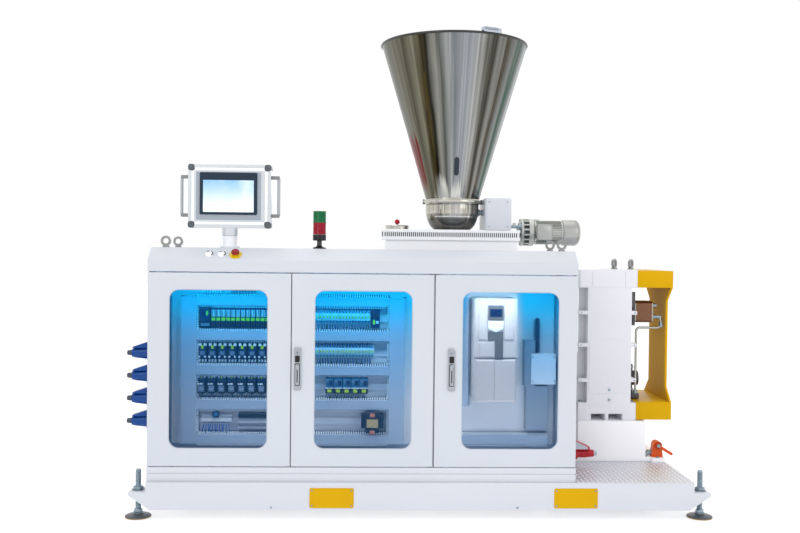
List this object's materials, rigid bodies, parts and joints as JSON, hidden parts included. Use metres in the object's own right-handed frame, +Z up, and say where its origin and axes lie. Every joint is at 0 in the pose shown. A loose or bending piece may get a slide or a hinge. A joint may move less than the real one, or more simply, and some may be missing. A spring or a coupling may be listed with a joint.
{
  "type": "plastic extruder",
  "caption": "Plastic extruder on a skid: glazed control cabinet, operator panel, gearbox, barrel, feeder and polished steel hopper.",
  "frame": {"origin": "middle of the four levelling feet, on the floor", "axes": "+X along the machine towards the gearbox, +Y away from the operator, +Z up"},
  "size_m": [2.97, 1.2596, 2.546],
  "materials": {
    "frame_paint": "satin powder coat",
    "cabinet_paint": "satin powder coat",
    "gearbox_paint": "satin enamel",
    "feeder_paint": "satin powder coat",
    "drive_box_paint": "satin powder coat",
    "motor_paint": "semi-gloss enamel",
    "signal_yellow": "gloss powder coat",
    "tread_plate": "rolled tread pattern",
    "zinc_steel": "zinc plated",
    "tinted_window": "blue tinted acrylic",
    "handle_metal": "satin",
    "galvanised_plate": "galvanised",
    "duct_plastic": "slotted, matte",
    "device_plastic": "moulded, matte",
    "drive_plastic": "moulded, satin",
    "plug_blue": "moulded",
    "plug_red": "moulded",
    "button_plastic": "moulded",
    "panel_aluminium": "anodised",
    "screen_front": "smooth",
    "lens_plastic": "ribbed lens",
    "polished_stainless": "mirror polished",
    "brazed_copper": "brazed plates",
    "pump_iron": "dark cast",
    "valve_orange": "moulded",
    "barrel_steel": "machined"
  },
  "bodies": {
    "machine": {"levelling_feet": "zinc_steel", "base_beam_front": "frame_paint", "base_beam_rear": "frame_paint", "base_crossmembers": "frame_paint", "pocket_covers": "signal_yellow", "deck_plate": "tread_plate", "cabinet_plinth": "frame_paint", "cabinet_side_left": "cabinet_paint", "cabinet_side_right": "cabinet_paint", "cabinet_back": "cabinet_paint", "cabinet_posts": "cabinet_paint", "console": "cabinet_paint", "hinge_pins": "zinc_steel", "mounting_plate": "galvanised_plate", "wiring_ducts": "duct_plastic", "device_rows": "device_plastic", "inverter": "drive_plastic", "blue_plugs": "plug_blue", "red_plug": "plug_red", "lifting_eyes": "zinc_steel", "control_buttons": "button_plastic", "panel_post": "handle_metal", "signal_tower": "lens_plastic", "hopper_cone": "polished_stainless", "hopper_bowl": "polished_stainless", "rim_sensor": "feeder_paint", "feeder_box": "feeder_paint", "feeder_hood": "feeder_paint", "access_lid": "polished_stainless", "drive_box": "drive_box_paint", "feeder_motor": "motor_paint", "gearbox": "gearbox_paint", "gearbox_pedestal": "frame_paint", "rear_guard": "signal_yellow", "oil_cooler": "brazed_copper", "cooler_bracket": "pump_iron", "oil_pump": "pump_iron", "oil_pipe": "zinc_steel", "valve_body": "valve_orange", "barrel": "barrel_steel", "barrel_guard": "feeder_paint", "barrel_stands": "frame_paint", "main_motor": "motor_paint"},
    "door_left": {"door_left": "cabinet_paint", "window_left": "tinted_window"},
    "door_middle": {"door_middle": "cabinet_paint", "window_middle": "tinted_window", "handle_middle": "handle_metal"},
    "door_right": {"door_right": "cabinet_paint", "window_right": "tinted_window", "handle_right": "handle_metal"},
    "operator_panel": {"panel_frame": "panel_aluminium", "panel_screen": "screen_front", "panel_handles": "panel_aluminium"},
    "valve_lever": {"valve_lever": "valve_orange"}
  },
  "joints": [
    {"name": "door_left_hinge", "type": "hinge", "parent": "machine", "child": "door_left", "pos_m": [-1.362, -0.598, 0.7445], "axis": [0, 0, -1], "range_deg": [0, 110]},
    {"name": "door_middle_hinge", "type": "hinge", "parent": "machine", "child": "door_middle", "pos_m": [0.0405, -0.598, 0.7445], "axis": [0, 0, 1], "range_deg": [0, 90]},
    {"name": "door_right_hinge", "type": "hinge", "parent": "machine", "child": "door_right", "pos_m": [0.762, -0.598, 0.7445], "axis": [0, 0, 1], "range_deg": [0, 110]},
    {"name": "panel_swivel", "type": "hinge", "parent": "machine", "child": "operator_panel", "pos_m": [-0.992, -0.435, 1.43], "axis": [0, 0, 1], "range_deg": [-60, 60]},
    {"name": "valve_turn", "type": "hinge", "parent": "machine", "child": "valve_lever", "pos_m": [1.332, -0.149, 0.279], "axis": [0, -1, 0], "range_deg": [0, 90]}
  ]
}
